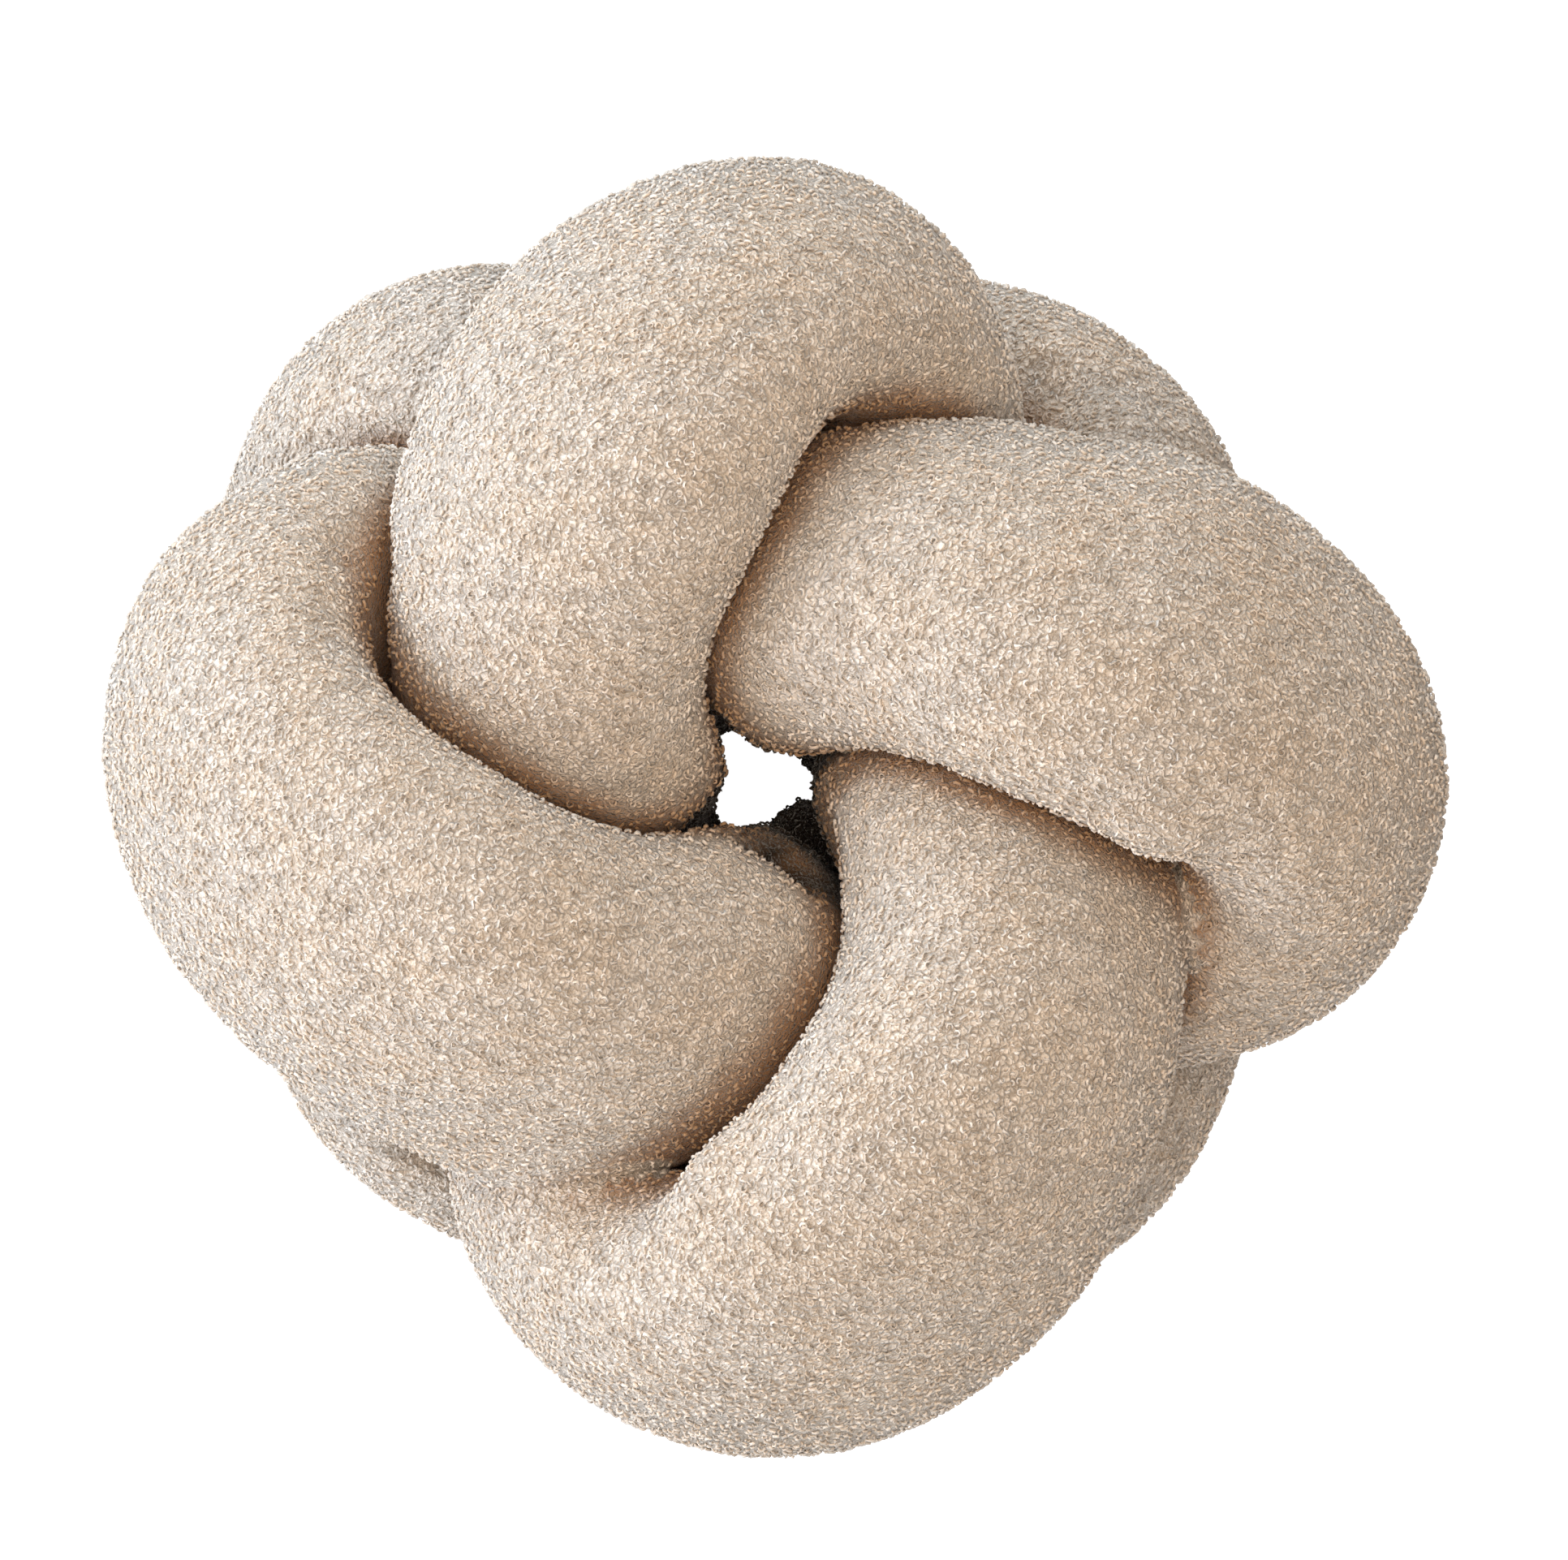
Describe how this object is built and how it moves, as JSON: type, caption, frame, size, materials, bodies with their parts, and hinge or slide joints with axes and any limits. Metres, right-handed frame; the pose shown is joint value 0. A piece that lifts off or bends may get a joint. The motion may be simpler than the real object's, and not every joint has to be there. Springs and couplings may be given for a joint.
{
  "type": "knot cushion",
  "caption": "Throw cushion made of a stuffed boucle cloth tube that closes on itself, knotted over and under into a flattened ball round a small centre hole.",
  "frame": {"origin": "centre of the cushion's footprint, on the surface that it lies on", "axes": "+Z out of the cushion's face, +Y towards its top as it stands on show, +X to its right as seen from the front"},
  "size_m": [0.4034, 0.3902, 0.2833],
  "materials": {
    "boucle": "matt, looped pile"
  },
  "bodies": {
    "root": {"knot_tube": "boucle"}
  },
  "joints": []
}
